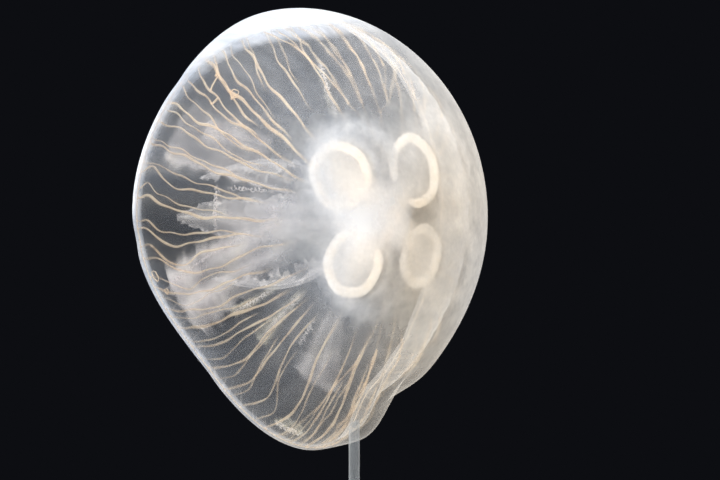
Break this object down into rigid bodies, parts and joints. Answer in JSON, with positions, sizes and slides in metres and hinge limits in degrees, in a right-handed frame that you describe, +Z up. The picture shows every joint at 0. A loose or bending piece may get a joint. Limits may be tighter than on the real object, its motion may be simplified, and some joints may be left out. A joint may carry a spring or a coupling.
{
  "type": "moon jellyfish",
  "caption": "Life-size moon jellyfish swimming on its side: domed bell, horseshoe gonads, curled tentacle fringe and trailing oral arms, on a round display stand.",
  "frame": {"origin": "centre of the stand base's underside, on the surface it stands on", "axes": "+Z up along the rod; the bell's axis lies level, its crown towards -Y turned 41 degrees to +X"},
  "size_m": [0.2018, 0.1981, 0.3645],
  "materials": {
    "jelly": "gloss",
    "gonad": "satin",
    "arm": "satin",
    "tentacle": "satin",
    "sense_organ": "satin",
    "base_paint": "satin",
    "clear_rod": "polished"
  },
  "bodies": {
    "root": {"crown": "jelly", "flank_1": "jelly", "flank_2": "jelly", "flank_3": "jelly", "flank_4": "jelly", "flank_5": "jelly", "flank_6": "jelly", "flank_7": "jelly", "flank_8": "jelly", "lappet_1": "jelly", "lappet_2": "jelly", "lappet_3": "jelly", "lappet_4": "jelly", "lappet_5": "jelly", "lappet_6": "jelly", "lappet_7": "jelly", "lappet_8": "jelly", "tentacles_1": "tentacle", "tentacles_2": "tentacle", "tentacles_3": "tentacle", "tentacles_4": "tentacle", "tentacles_5": "tentacle", "tentacles_6": "tentacle", "tentacles_7": "tentacle", "tentacles_8": "tentacle", "sense_organ_1": "sense_organ", "sense_organ_2": "sense_organ", "sense_organ_3": "sense_organ", "sense_organ_4": "sense_organ", "sense_organ_5": "sense_organ", "sense_organ_6": "sense_organ", "sense_organ_7": "sense_organ", "sense_organ_8": "sense_organ", "gonad_1": "gonad", "gonad_2": "gonad", "gonad_3": "gonad", "gonad_4": "gonad", "manubrium": "arm", "oral_arm_1_root": "arm", "oral_arm_1_mid": "arm", "oral_arm_1_tip": "arm", "oral_arm_2_root": "arm", "oral_arm_2_mid": "arm", "oral_arm_2_tip": "arm", "oral_arm_3_root": "arm", "oral_arm_3_mid": "arm", "oral_arm_3_tip": "arm", "oral_arm_4_root": "arm", "oral_arm_4_mid": "arm", "oral_arm_4_tip": "arm", "stand_base": "base_paint", "stand_collar": "base_paint", "stand_rod": "clear_rod"}
  },
  "joints": []
}
